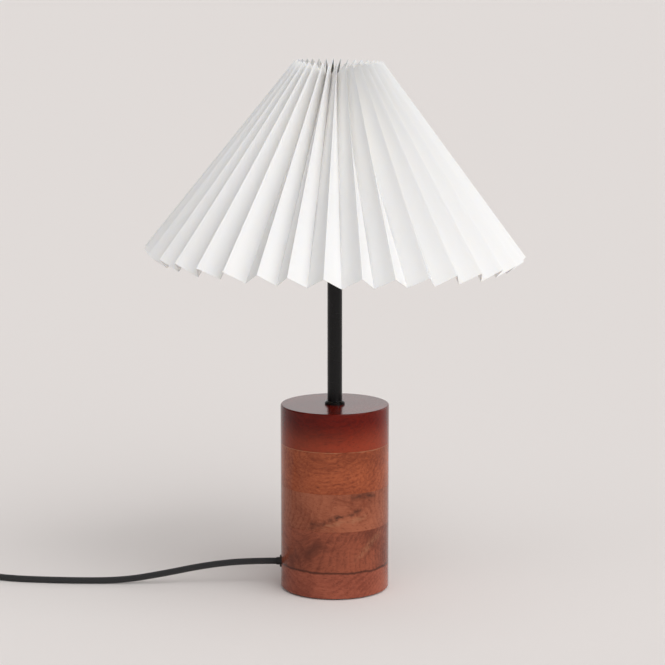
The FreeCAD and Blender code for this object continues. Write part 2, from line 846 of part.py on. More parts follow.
def pivot_pin_body(clear):
    length = rocker_width + 2 * rocker_clear + 2 * lug_thick
    start = at(switch_x, switch_y - length / 2, rocker_pivot_height)
    return Part.makeCylinder(pivot_dia / 2 + clear, length, start, ACROSS)


def switch_rocker():
    """Two-sided rocker, drawn level and then tipped to its resting side."""
    half = rocker_length / 2
    reach = math.hypot(half, rocker_rise)
    shoulder = at(math.sqrt(reach ** 2 - rocker_belly ** 2), 0, -rocker_belly)
    tip = at(half, 0, rocker_rise)
    mid_turn = (math.atan2(rocker_rise, half) + math.atan2(-rocker_belly, shoulder.x)) / 2
    mid = at(reach * math.cos(mid_turn), 0, reach * math.sin(mid_turn))
    belly = at(0, 0, -rocker_belly - 1.2)

    def other(point):
        return at(-point.x, 0, point.z)

    edges = [
        Part.Arc(tip, mid, shoulder),
        Part.Arc(shoulder, belly, other(shoulder)),
        Part.Arc(other(shoulder), other(mid), other(tip)),
        Part.Arc(other(tip), at(0, 0, rocker_rise - rocker_dip), tip),
    ]
    face = Part.Face(Part.Wire([edge.toShape() for edge in edges]))
    body = face.extrude(at(0, rocker_width, 0))
    body.translate(at(0, -rocker_width / 2, 0))
    body.rotate(at(0, 0, 0), ACROSS, -rocker_tilt)
    body.translate(at(switch_x, switch_y, rocker_pivot_height))
    return body.cut(pivot_pin_body(pivot_clear))


# ---------------------------------------------------------------- plug
def plug_body():
    """Flat two-pin plug: a tapered neck that widens to a six-sided body."""
    neck = plug_neck_width / 2
    half = plug_width / 2
    face = plug_length
    outline = [
        (0, -neck), (plug_neck_length, -neck), (plug_neck_length + 8.0, -half + 3.0), (face - 6.0, -half),
        (face, -half + 3.5), (face, half - 3.5), (face - 6.0, half), (plug_neck_length + 8.0, half - 3.0),
        (plug_neck_length, neck), (0, neck),
    ]
    points = [at(x, y, 0) for x, y in outline]
    body = Part.Face(Part.makePolygon(points + points[:1])).extrude(at(0, 0, plug_thick))
    flat = [edge for edge in body.Edges
            if edge.BoundBox.ZLength < 0.01]
    body = body.makeFillet(plug_edge, flat)
    body.translate(at(plug_start, plug_y, 0))
    for side in (-1, 1):
        start = at(plug_start + plug_length - pin_root, plug_y + side * pin_spacing / 2, plug_height)
        body = body.cut(Part.makeCylinder(pin_root_dia / 2 + pivot_clear, pin_root, start, ALONG))
    return body


def plug_pins():
    """Round pins with domed tips, set in the plug by their thinner roots."""
    radius = pin_dia / 2
    root = pin_root_dia / 2
    length = pin_root + pin_length
    dome = pin_tip
    tip_radius = (radius ** 2 + dome ** 2) / (2 * dome)
    tip_turn = math.asin(radius / tip_radius) / 2
    tip_mid = at(tip_radius * math.sin(tip_turn), 0, length - tip_radius * (1 - math.cos(tip_turn)))
    profile = [
        Part.LineSegment(at(0, 0, 0), at(root, 0, 0)),
        Part.LineSegment(at(root, 0, 0), at(root, 0, pin_root)),
        Part.LineSegment(at(root, 0, pin_root), at(radius, 0, pin_root)),
        Part.LineSegment(at(radius, 0, pin_root), at(radius, 0, length - dome)),
        Part.Arc(at(radius, 0, length - dome), tip_mid, at(0, 0, length)),
        Part.LineSegment(at(0, 0, length), at(0, 0, 0)),
    ]
    face = Part.Face(Part.Wire([edge.toShape() for edge in profile]))
    pins = []
    for side in (-1, 1):
        pin = face.revolve(at(0, 0, 0), UP, 360)
        pins.append(lengthwise(pin, plug_start + plug_length - pin_root, plug_y + side * pin_spacing / 2, plug_height))
    return joined(pins)


# ---------------------------------------------------------------- coil
def coil_point(turns):
    """Point and heading of the coil's line: spiral in below, climb, spiral out above."""
    middle = coil_turns / 2
    radius = coil_outer - coil_pitch * (turns if turns <= middle else coil_turns - turns)
    climb = min(max((turns - (middle - 0.25)) / 0.5, 0.0), 1.0)
    height = coil_low + (coil_high - coil_low) * climb * climb * (3 - 2 * climb)
    angle = math.radians(90 + 360 * turns)
    return at(coil_x + radius * math.cos(angle), coil_y + radius * math.sin(angle), height)


def coil_heading(turns):
    step = 0.002
    before = coil_point(max(turns - step, 0))
    after = coil_point(min(turns + step, coil_turns))
    if turns == 0 or turns == coil_turns:
        angle = math.radians(90 + 360 * turns)
        return at(-math.sin(angle), math.cos(angle), 0)
    return (after - before).normalize()


def arc_from(start, heading, end):
    """The arc that leaves start along heading and passes through end."""
    chord = end - start
    bend = chord - heading * chord.dot(heading)
    if bend.Length < 1e-6:
        return Part.LineSegment(start, end).toShape()
    side = bend.normalize()
    radius = chord.dot(chord) / (2 * chord.dot(side))
    centre = start + side * radius
    middle = (start + end) * 0.5 - centre
    return Part.Arc(start, centre + middle.normalize() * abs(radius), end).toShape()


def biarc(start, start_way, end, end_way):
    """Two arcs that join two headed points smoothly."""
    gap = end - start
    both = start_way + end_way
    spare = 2 * (1 - start_way.dot(end_way))
    along = gap.dot(both)
    if spare < 1e-9:
        reach = gap.dot(gap) / (4 * gap.dot(end_way))
    else:
        reach = (-along + math.sqrt(along ** 2 + spare * gap.dot(gap))) / spare
    meet = (start + start_way * reach + end - end_way * reach) * 0.5
    first = arc_from(start, start_way, meet)
    second = arc_from(end, end_way * -1, meet)
    return [first, second]


def coil_path():
    steps = int(coil_turns * 4)
    start = coil_point(0)
    finish = coil_point(coil_turns)
    start_way = coil_heading(0)
    finish_way = coil_heading(coil_turns)
    edges = [Part.LineSegment(start - start_way * cord_dia, start).toShape()]
    for step in range(steps):
        near = coil_turns * step / steps
        far = coil_turns * (step + 1) / steps
        edges += biarc(coil_point(near), coil_heading(near), coil_point(far), coil_heading(far))
    edges.append(Part.LineSegment(finish, finish + finish_way * cord_dia).toShape())
    return Part.Wire(Part.__sortEdges__(edges))


def coil_gap():
    """Least clear distance between one turn and the others, measured on points."""
    samples = 60
    count = int(coil_turns * samples)
    points = [coil_point(coil_turns * step / count) for step in range(count + 1)]
    least = min((points[one] - points[two]).Length
                for one in range(len(points)) for two in range(one + samples // 2, len(points)))
    return least - cord_dia


def cord_coil():
    path = coil_path()
    tube = tube_on(path, cord_dia)
    section = math.pi * cord_radius ** 2
    print("cord_coil length", round(path.Length, 1), "least gap", round(coil_gap(), 3),
          "volume ratio", round(tube.Volume / (section * path.Length), 4))
    return tube


def coil_tie():
    """Strap round the turns, on the side of the coil towards the lamp."""
    lanes = [coil_point(turns + 0.75) for turns in range(coil_lanes)]
    distances = [(lane - at(coil_x, coil_y, lane.z)).Length for lane in lanes]
    inner = min(distances) - cord_radius - tie_side_gap
    outer = max(distances) + cord_radius + tie_gap
    high = coil_high + cord_radius + tie_gap
    strap = Part.makeBox(outer - inner + 2 * tie_thick, tie_width, high + tie_thick,
                         at(coil_x + inner - tie_thick, coil_y - tie_width / 2, 0))
    long_edges = [edge for edge in strap.Edges if abs(edge.BoundBox.YLength - tie_width) < 0.01]
    strap = strap.makeFillet(2.0 + tie_thick, long_edges)
    hole = Part.makeBox(outer - inner, tie_width, high - tie_thick, at(coil_x + inner, coil_y - tie_width / 2, tie_thick))
    hole_edges = [edge for edge in hole.Edges if abs(edge.BoundBox.YLength - tie_width) < 0.01]
    return strap.cut(hole.makeFillet(2.0, hole_edges))


# ---------------------------------------------------------------- write every piece
for index in range(len(board_heights)):
    save("base_board_" + str(index + 1), base_board(index))
save("foot_pad", Part.makeCylinder(pad_dia / 2, pad_thick, at(0, 0, 0)))
save("base_cover", base_cover())
save("cover_screws", cover_screws())
save("rod_washer", ring(washer_dia, rod_dia + 2 * slip_clear, washer_z, recess_top))
save("rod_nut", hexagon_nut(nut_flats, rod_dia + 2 * slip_clear, nut_z, washer_z))
save("threaded_rod", threaded_rod())
save("stem_tube", stem_tube())
save("stem_collar", stem_collar())

save("holder_cap", holder_cap())
save("holder_mantle", holder_mantle())
save("holder_insert", holder_insert())
save("centre_contact", centre_contact())
save("side_contacts", side_contacts())
save("terminals", terminals())
save("clamp_ring", clamp_ring())

save("bulb_glass", bulb_glass())
save("bulb_cap", bulb_cap())
save("bulb_insulator", bulb_insulator())
save("bulb_contact", bulb_contact())

save("fitter_ring", fitter_ring())
save("carrier_legs", carrier_legs())
save("top_ring", top_ring())
save("shade_paper", shade_paper())
save("shade_drawstring", drawstring())

save("cable_bushing", cable_bushing())
save("cord_stop", cord_stop())
save("cord_stop_screw", stop_screw_body(0))
save("inner_cable", inner_cable())
save("lead_wires", lead_wires())

lamp_end = [(bushing_mouth_x, 0, cord_exit_height)]
switch_near = [(switch_start, switch_y, switch_cord_height)]
switch_far = [(switch_start - switch_length, switch_y, switch_cord_height)]
coil_start = coil_point(0) - coil_heading(0) * cord_dia
coil_end = coil_point(coil_turns) + coil_heading(coil_turns) * cord_dia
plug_end = [(plug_start, plug_y, plug_height)]
save("cord_lamp_run", free_tube("cord_lamp_run", lamp_end + lamp_run_route + switch_near))
save("switch_lower", switch_lower())
save("switch_upper", switch_upper())
save("switch_screws", switch_screws())
save("rocker_pivot", pivot_pin_body(0))
save("switch_rocker", switch_rocker())
save("cord_plug_run", free_tube("cord_plug_run", switch_far + plug_run_route + [tuple(coil_start)]))
save("cord_coil", cord_coil())
save("coil_tie", coil_tie())
save("cord_tail", free_tube("cord_tail", [tuple(coil_end)] + tail_route + plug_end))
save("plug_body", plug_body())
save("plug_pins", plug_pins())
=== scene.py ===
# %% [markdown]
# # A pleated paper table lamp
# The real lamp is a pleated paper shade that sits on a wire carrier, over a lampholder with a small
# opal bulb. A thin black stem carries them on a tall round foot, glued up from five boards, turned
# and lacquered. A black textile cord leaves the foot low down on its left.
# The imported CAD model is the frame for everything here: each piece of it has its final place, so
# this script only makes what CAD can't show well, which is paper, textile and finishes.

# %% Load the frame
import math

import bmesh
import bpy
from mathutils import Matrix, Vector
from mathutils import noise as noises


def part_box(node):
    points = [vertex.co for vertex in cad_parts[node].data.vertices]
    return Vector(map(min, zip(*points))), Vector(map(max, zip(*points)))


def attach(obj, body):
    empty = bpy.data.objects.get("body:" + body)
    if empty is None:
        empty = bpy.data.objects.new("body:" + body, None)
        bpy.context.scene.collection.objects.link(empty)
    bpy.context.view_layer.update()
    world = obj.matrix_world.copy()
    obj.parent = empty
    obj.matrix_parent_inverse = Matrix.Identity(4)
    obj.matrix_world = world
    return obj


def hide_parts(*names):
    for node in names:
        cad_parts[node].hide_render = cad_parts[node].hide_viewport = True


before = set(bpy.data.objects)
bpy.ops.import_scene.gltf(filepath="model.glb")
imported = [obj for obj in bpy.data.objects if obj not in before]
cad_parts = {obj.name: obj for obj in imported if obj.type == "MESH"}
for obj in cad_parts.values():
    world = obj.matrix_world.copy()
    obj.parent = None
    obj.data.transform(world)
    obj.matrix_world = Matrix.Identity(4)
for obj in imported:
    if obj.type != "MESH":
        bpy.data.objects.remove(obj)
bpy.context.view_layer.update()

# %% [markdown]
# ## The camera
# A long lens a couple of metres away keeps the foot's sides upright and shows just a little of its
# top. The camera looks slightly down and needs no lens shift, so views from other sides are framed
# well too.

# %% Place the camera
camera_place = (-0.0021, -2.100, 0.6068)
camera_down = 0.1729                      # radians below level
camera_lens = 125.8                       # millimetres
camera_sensor = 36.0                      # millimetres wide
camera_reach = 100.0                      # metres

camera_data = bpy.data.cameras.new("camera")
camera_data.lens = camera_lens
camera_data.sensor_width = camera_sensor
camera_data.clip_end = camera_reach
camera = bpy.data.objects.new("camera", camera_data)
camera.location = camera_place
camera.rotation_euler = (math.pi / 2 - camera_down, 0.0, 0.0)
bpy.context.scene.collection.objects.link(camera)
bpy.context.scene.camera = camera
print("camera at", camera_place)

# %% [markdown]
# ## Helpers for node trees
# Materials and Geometry Nodes are both node trees. `put` adds one node, sets its options and fills
# its inputs: a number or colour is set on the input itself, and another node's output is linked to
# it. `maths`, `vectors` and `measured` do the same for the common Math and Vector Math nodes, and
# give back what comes out.

# %% Node helpers
def put(tree, kind, inputs=(), **options):
    """Add a node, set its options and fill the named or numbered inputs."""
    node = tree.nodes.new(kind)
    for option, value in options.items():
        setattr(node, option, value)
    for socket, source in dict(inputs).items():
        if isinstance(source, bpy.types.NodeSocket):
            tree.links.new(source, node.inputs[socket])
        else:
            node.inputs[socket].default_value = source
    return node


def maths(tree, operation, *values):
    """The number that a Math node gives."""
    return put(tree, "ShaderNodeMath", dict(enumerate(values)), operation=operation).outputs[0]


def vectors(tree, operation, *values):
    """The vector that a Vector Math node gives."""
    return put(tree, "ShaderNodeVectorMath", dict(enumerate(values)), operation=operation).outputs[0]


def measured(tree, operation, *values):
    """The number that a Vector Math node gives, such as a length."""
    node = put(tree, "ShaderNodeVectorMath", dict(enumerate(values)), operation=operation)
    return node.outputs["Value"]


def scaled(tree, vector, factor):
    """The vector, made longer or shorter by the factor."""
    return put(tree, "ShaderNodeVectorMath", {0: vector, "Scale": factor}, operation="SCALE").outputs[0]


def blend_numbers(tree, share, first, second):
    """first where share is 0, second where it is 1."""
    inputs = {0: share, 2: first, 3: second}
    return put(tree, "ShaderNodeMix", inputs, data_type="FLOAT").outputs[0]


def blend_colours(tree, share, first, second, mode="MIX"):
    """The same for colours, which may be mixed or added."""
    inputs = {0: share, 6: first, 7: second}
    return put(tree, "ShaderNodeMix", inputs, data_type="RGBA", blend_type=mode).outputs[2]


def stepped(tree, value, low, high, out_low=0.0, out_high=1.0):
    """Map a range smoothly onto another, and keep to its ends outside it."""
    inputs = {"Value": value, 1: low, 2: high, 3: out_low, 4: out_high}
    return put(tree, "ShaderNodeMapRange", inputs, interpolation_type="SMOOTHSTEP").outputs[0]


# %% [markdown]
# ## Materials
# Each finish is a Principled shader, with patterns worked out from the piece's own coordinates in
# metres, so that a grain or a weave has its real size. `finish_of` starts such a material and gives
# back its tree, its shader and its coordinates.

# %% Material helpers
def finish_of(name, colour, roughness, **sockets):
    """A new material: its tree, its shader and its object coordinates."""
    material = bpy.data.materials.new(name)
    material.use_nodes = True
    tree = material.node_tree
    shader = tree.nodes["Principled BSDF"]
    shader.inputs["Base Color"].default_value = (*colour, 1.0)
    shader.inputs["Roughness"].default_value = roughness
    for socket, value in sockets.items():
        shader.inputs[socket.replace("_", " ")].default_value = value
    place = put(tree, "ShaderNodeTexCoord").outputs["Object"]
    return material, tree, shader, place


def noise(tree, place, scale, detail=2.0, stretch=(1.0, 1.0, 1.0), seed=0.0):
    """Noise of so many blobs to the metre. A stretch under 1 draws them out along that axis."""
    spread = vectors(tree, "MULTIPLY", place, stretch)
    inputs = {"Vector": spread, "W": seed, "Scale": scale, "Detail": detail}
    return put(tree, "ShaderNodeTexNoise", inputs, noise_dimensions="4D").outputs[0]


def relief(tree, shader, height, depth):
    """Turn a height of 0 to 1 into bumps of that depth in metres."""
    bump = put(tree, "ShaderNodeBump", {"Height": height, "Distance": depth, "Strength": 1.0})
    tree.links.new(bump.outputs[0], shader.inputs["Normal"])


def shifted_colour(tree, shader, share, first, second):
    """Colour the surface: first where share is 0, second where it is 1."""
    colour = blend_colours(tree, share, (*first, 1.0), (*second, 1.0))
    tree.links.new(colour, shader.inputs["Base Color"])


# %% [markdown]
# ## The cord's line
# A cord is a fixed length of something springy. Its route is a short list of points, the same as in
# the CAD source, and a NURBS curve of order 3 runs smoothly past them. The part that the photograph
# doesn't show is put away in a flat coil, whose points come from a formula.

# %% Routes
cord_width = 0.006
cord_radius = cord_width / 2


def middle_of(node):
    low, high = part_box(node)
    return (Vector(low) + Vector(high)) / 2


bushing_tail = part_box("cable_bushing")[0][0]
switch_low, switch_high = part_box("switch_lower")
plug_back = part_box("plug_body")[0][0]
cord_exit = Vector((bushing_tail, 0.0, middle_of("cable_bushing").z))
switch_cord_height = 0.007
switch_middle = middle_of("switch_lower")
switch_near = Vector((switch_high[0], switch_middle.y, switch_cord_height))
switch_far = Vector((switch_low[0], switch_middle.y, switch_cord_height))
plug_middle = middle_of("plug_body")
plug_end = Vector((plug_back, plug_middle.y, plug_middle.z))

lamp_run_route = [
    (-0.084, 0.0, 0.0238),
    (-0.122, 0.0016, 0.0190),
    (-0.161, 0.0032, 0.0104),
    (-0.200, 0.0064, 0.003),
    (-0.250, 0.0064, 0.003),
    (-0.303, 0.0126, 0.003),
    (-0.330, 0.025, 0.003),
    (-0.348, 0.034, 0.007),
]
plug_run_route = [
    (-0.452, 0.034, 0.007),
    (-0.482, 0.025, 0.0043),
]
tail_route = [
    (-0.482, -0.0605, 0.0108),
    (-0.456, -0.072, 0.007),
]

coil_x = -0.512
coil_entry_y = 0.025
coil_middle = 0.0644                      # across the middle of the turns
coil_turns = 6.5
coil_pitch = 0.0065
coil_low = 0.0043
coil_high = coil_low + coil_pitch
coil_outer = coil_middle / 2 + coil_pitch * coil_turns / 4
coil_y = coil_entry_y - coil_outer
coil_points_per_turn = 24
coil_start = 90                           # degrees round from +X to where the cord comes in
coil_climb = 0.5                          # of a turn, from the lower layer up to the upper


def coil_point(turns):
    """Spiral in below, climb to the upper layer half way, and spiral out on it."""
    half = coil_turns / 2
    radius = coil_outer - coil_pitch * (turns if turns <= half else coil_turns - turns)
    climb = min(max((turns - (half - coil_climb / 2)) / coil_climb, 0.0), 1.0)
    height = coil_low + (coil_high - coil_low) * climb * climb * (3 - 2 * climb)
    angle = math.radians(coil_start + 360 * turns)
    return (coil_x + radius * math.cos(angle), coil_y + radius * math.sin(angle), height)


coil_count = int(coil_turns * coil_points_per_turn)
coil_route = [coil_point(coil_turns * step / coil_count) for step in range(coil_count + 1)]
print("coil points:", len(coil_route))

# %% Smooth lines along the routes
line_resolution = 10                      # points of the line for each point of the route


def smooth_line(name, route):
    """Points along the NURBS curve that has the route's points as its control points."""
    data = bpy.data.curves.new(name, "CURVE")
    data.dimensions = "3D"
    data.resolution_u = line_resolution
    spline = data.splines.new("NURBS")
    spline.points.add(len(route) - 1)
    for point, place in zip(spline.points, route):
        point.co = (*place, 1.0)
    spline.order_u = 3
    spline.use_endpoint_u = True
    holder = bpy.data.objects.new(name, data)
    bpy.context.scene.collection.objects.link(holder)
    line_mesh = bpy.data.meshes.new_from_object(holder)
    line = [vertex.co.copy() for vertex in line_mesh.vertices]
    bpy.data.objects.remove(holder)
    return line


def line_length(line):
    return sum((after - before).length for before, after in zip(line, line[1:]))


lamp_line = smooth_line("lamp_run_line", [cord_exit] + lamp_run_route + [switch_near])
plug_line = smooth_line("plug_run_line", [switch_far] + plug_run_route + coil_route + tail_route + [plug_end])
print("cord to the switch:", round(line_length(lamp_line), 4), "m, and on to the plug:",
      round(line_length(plug_line), 4), "m")

# %% [markdown]
# ## The braided cord
# The sleeve is a round tube that follows the line. Its map runs in metres along and around the
# cord, so the braid keeps one size everywhere, also round the coil. The braid itself is two sets of
# slanting yarns that pass over and under each other, which the material draws as relief. Its colour
# is painted shade: the yarns keep their own near-black on the crests and are painted darker down in
# the hollows between them.

# %% A tube with a map in metres
def even_points(line, step):
    """The line again, with points at even distances."""
    count = max(int(line_length(line) / step), 2)
    spacing = line_length(line) / count
    points = [line[0]]
    gone = 0.0
    for before, after in zip(line, line[1:]):
        piece = (after - before).length
        while gone + piece >= spacing * len(points) and len(points) < count:
            share = (spacing * len(points) - gone) / piece
            points.append(before.lerp(after, share))
        gone += piece
    points.append(line[-1])
    return points


def mesh_piece(name, places, faces, material):
    """A new object with a smoothly shaded mesh."""
    mesh = bpy.data.meshes.new(name)
    mesh.from_pydata([tuple(place) for place in places], [], faces)
    mesh.polygons.foreach_set("use_smooth", [True] * len(mesh.polygons))
    mesh.materials.append(material)
    piece = bpy.data.objects.new(name, mesh)
    bpy.context.scene.collection.objects.link(piece)
    return piece


def tube_along(name, line, radius, sides, step, material):
    """A closed round tube along a line, with its map in metres along and around it."""
    points = even_points(line, step)
    side = Vector((0.0, 0.0, 1.0))
    places = []
    for index, point in enumerate(points):
        heading = (points[min(index + 1, len(points) - 1)] - points[max(index - 1, 0)]).normalized()
        side = (side - heading * side.dot(heading)).normalized()
        other = heading.cross(side)
        for corner in range(sides):
            turn = 2 * math.pi * corner / sides
            places.append(point + (side * math.cos(turn) + other * math.sin(turn)) * radius)
    faces = []
    for index in range(len(points) - 1):
        for corner in range(sides):
            near = index * sides + corner
            near_next = index * sides + (corner + 1) % sides
            faces.append((near, near_next, near_next + sides, near + sides))
    last = (len(points) - 1) * sides
    faces.append(tuple(reversed(range(sides))))
    faces.append(tuple(range(last, last + sides)))
    piece = mesh_piece(name, places, faces, material)
    chart = piece.data.uv_layers.new(name="UVMap")
    spacing = line_length(points) / (len(points) - 1)
    around = 2 * math.pi * radius / sides
    loop = 0
    for index in range(len(points) - 1):
        for corner in range(sides):
            for ahead, turned in ((0, 0), (0, 1), (1, 1), (1, 0)):
                chart.data[loop].uv = ((index + ahead) * spacing, (corner + turned) * around)
                loop += 1
    return piece


# %% Yarns that pass over and under
yarn_roughness = 0.6
fuzz_scale = 3000.0                       # blobs to the metre
fuzz_share = 0.3                          # of a yarn's height


def woven_finish(name, dark, light, yarns, lays, depth, **sockets):
    """Two sets of yarns, so many to the metre, each laid along its own direction of the map."""
    material, tree, shader, place = finish_of(name, light, yarn_roughness, **sockets)
    chart = put(tree, "ShaderNodeUVMap").outputs[0]
    ways = [measured(tree, "DOT_PRODUCT", chart, (along * yarns, around * yarns, 0.0))
            for along, around in lays]
    cells = maths(tree, "ADD", *[maths(tree, "FLOOR", way) for way in ways])
    over = maths(tree, "PINGPONG", cells, 1.0)
    humps = []
    for way in ways:
        across_yarn = maths(tree, "MULTIPLY", maths(tree, "FRACT", way), math.pi)
        humps.append(maths(tree, "SINE", across_yarn))
    height = blend_numbers(tree, over, *humps)
    fuzz = noise(tree, place, fuzz_scale)
    height = maths(tree, "ADD", height, maths(tree, "MULTIPLY", fuzz, fuzz_share))
    # Painted shade: the colour runs from dark down in the hollows between the yarns to light on their crests.
    shifted_colour(tree, shader, height, dark, light)
    relief(tree, shader, height, depth)
    return material


braid_yarns_around = 14
braid_yarns = braid_yarns_around / (2 * math.pi * cord_radius)
braid_lays = [(0.7, 1.0), (0.7, -1.0)]    # the two slants, along and around the cord
braid_depth = 0.00035
cord_sides = 20
seen_cord_step = 0.0012
coiled_cord_step = 0.0024                 # coarser, because the coil lies outside the picture
# The first colour is painted shade in the hollows between the yarns, the second is the yarns' own near-black.
black_braid = woven_finish("black_braid", (0.002, 0.002, 0.002), (0.024, 0.024, 0.025), braid_yarns,
                           braid_lays, braid_depth,
                           Specular_IOR_Level=0.4, Sheen_Weight=0.06, Sheen_Roughness=0.5)
lamp_cord = tube_along("cord_to_switch", lamp_line, cord_radius, cord_sides, seen_cord_step, black_braid)
plug_cord = tube_along("cord_to_plug", plug_line, cord_radius, cord_sides, coiled_cord_step, black_braid)
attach(lamp_cord, "lamp")
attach(plug_cord, "lamp")
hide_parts("cord_lamp_run")
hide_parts("cord_plug_run", "cord_coil", "cord_tail")
print("cord points:", len(lamp_cord.data.vertices), "to the switch and", len(plug_cord.data.vertices),
      "on to the plug")

# %% [markdown]
# ## Studio
# The lamp stands on a wide, plain, pale floor, so that it can be seen from every side. One big soft
# light stands in front on the right, so the lamp's shadow runs back to the left and is gone after
# half a metre. A very wide sun stands for it, and a second, still wider one, nearly straight from
# the front, fills the shadows.
# The world is bright or dark by direction, as a studio is. It is bright low down behind the lamp,
# where the lacquered foot mirrors it in its top and along its edges, and dark behind the camera,
# which leaves the middle of the wood deep in colour.
# Blender's default view transform softens bright whites, so the plain Standard one is set.

# %% Floor, world and light
floor_colour = (0.845, 0.804, 0.783)
floor_roughness = 0.95
floor_reach = 40.0
room_colour = (0.80, 0.785, 0.78, 1.0)
overhead_left = 0.26
overhead_right = 0.52
backdrop_strength = 1.45                  # low down, behind the lamp
room_strength = 0.08                      # low down, behind the camera
wall_turn = 0.25                          # turns the bright side a little to the right
wall_fade = (-0.3, 0.9)                   # from the room's strength to the backdrop's
overhead_rise = (0.25, 0.7)               # from what is low down to what is overhead
overhead_fade = (-0.7, 0.6)               # from the left strength to the right one

floor_finish = finish_of("sweep", floor_colour, floor_roughness, Specular_IOR_Level=0.0)[0]
corners = [(-floor_reach, -floor_reach, 0.0), (floor_reach, -floor_reach, 0.0),
           (floor_reach, floor_reach, 0.0), (-floor_reach, floor_reach, 0.0)]
floor = mesh_piece("floor", corners, [(0, 1, 2, 3)], floor_finish)

world = bpy.data.worlds.new("studio")
world.use_nodes = True
sky = world.node_tree
heading = put(sky, "ShaderNodeSeparateXYZ", {0: put(sky, "ShaderNodeTexCoord").outputs["Generated"]})
to_the_right = maths(sky, "MULTIPLY", heading.outputs[0], wall_turn)
towards_wall = maths(sky, "ADD", heading.outputs[1], to_the_right)
round_about = stepped(sky, towards_wall, *wall_fade, room_strength, backdrop_strength)
overhead = stepped(sky, heading.outputs[2], *overhead_rise)
background = sky.nodes["Background"]
background.inputs["Color"].default_value = room_colour
soft_box = stepped(sky, heading.outputs[0], *overhead_fade, overhead_left, overhead_right)
sky.links.new(blend_numbers(sky, overhead, round_about, soft_box), background.inputs["Strength"])
bpy.context.scene.world = world


def soft_sun(name, heading, strength, spread):
    """A very wide sun that shines along the heading. Its spread is in degrees."""
    light = bpy.data.lights.new(name, "SUN")
    light.energy = strength
    light.angle = math.radians(spread)
    holder = bpy.data.objects.new(name, light)
    holder.rotation_euler = Vector(heading).to_track_quat("-Z", "Y").to_euler()
    bpy.context.scene.collection.objects.link(holder)


soft_sun("key", heading=(-0.66, 0.76, -0.76), strength=1.5, spread=64)
soft_sun("fill", heading=(-0.05, 0.90, -0.72), strength=1.15, spread=120)
bpy.context.scene.view_settings.view_transform = "Standard"
print("suns:", len(bpy.data.lights))

# %% [markdown]
# ## The pleated shade
# One long strip of paper is folded to and fro, closed into a ring and gathered at one edge. Every
# fold is a straight line between the neck and the hem, and every other fold lies deeper by the
# pleat's depth, square to the outer folds. That is a rule, so Geometry Nodes can make it: a flat
# grid is laid out fold by fold, with its columns crowded at the folds to keep them crisp.
# Paper is never quite even, so each fold wanders a little, always in the same way for one seed.

# %% Sizes of the shade
shade_sizes = {
    "Pleats": 36,
    "Columns": 6,
    "Rows": 36,
    "Neck Radius": 0.0392,
    "Neck Height": 0.488,
    "Hem Radius": 0.1735,
    "Hem Height": 0.315,
    "Neck Depth": 0.0195,
    "Hem Depth": 0.0164,
    "First Fold": math.radians(-92.9),
    "Crowding": 0.157,
    "Wander": math.radians(0.55),
    "Depth Change": 0.05,
    "Edge Change": 0.0008,
    "Lean": math.radians(1.36),
    "Lean Shift": 0.0038,
    "Seed": 5,
}
paper_thick = 0.00035
row_share = 0.6                           # more than 0 crowds the rows towards the neck
fold_nudge = 0.001                        # keeps a column on a fold from counting to the one before
neck_hold = 0.9                           # how much of the lean the inner folds lack at the neck
weld_distance = 0.00001
print("folds:", 2 * shade_sizes["Pleats"])


# %% The pleating tree
def new_tree(name, sizes):
    """An empty Geometry Nodes tree with one named input for each size."""
    tree = bpy.data.node_groups.new(name, "GeometryNodeTree")
    tree.interface.new_socket("Geometry", in_out="OUTPUT", socket_type="NodeSocketGeometry")
    for size, value in sizes.items():
        kind = "NodeSocketInt" if isinstance(value, int) else "NodeSocketFloat"
        tree.interface.new_socket(size, in_out="INPUT", socket_type=kind)
    return tree, tree.nodes.new("NodeGroupInput").outputs


def chance(tree, fold, inputs, draw):
    """A steady random number from -1 to 1 for each fold."""
    random = put(tree, "FunctionNodeRandomValue", data_type="FLOAT")
    random.inputs[2].default_value = -1.0
    random.inputs[3].default_value = 1.0
    tree.links.new(fold, random.inputs["ID"])
    tree.links.new(maths(tree, "ADD", inputs["Seed"], float(draw)), random.inputs["Seed"])
    return random.outputs[1]


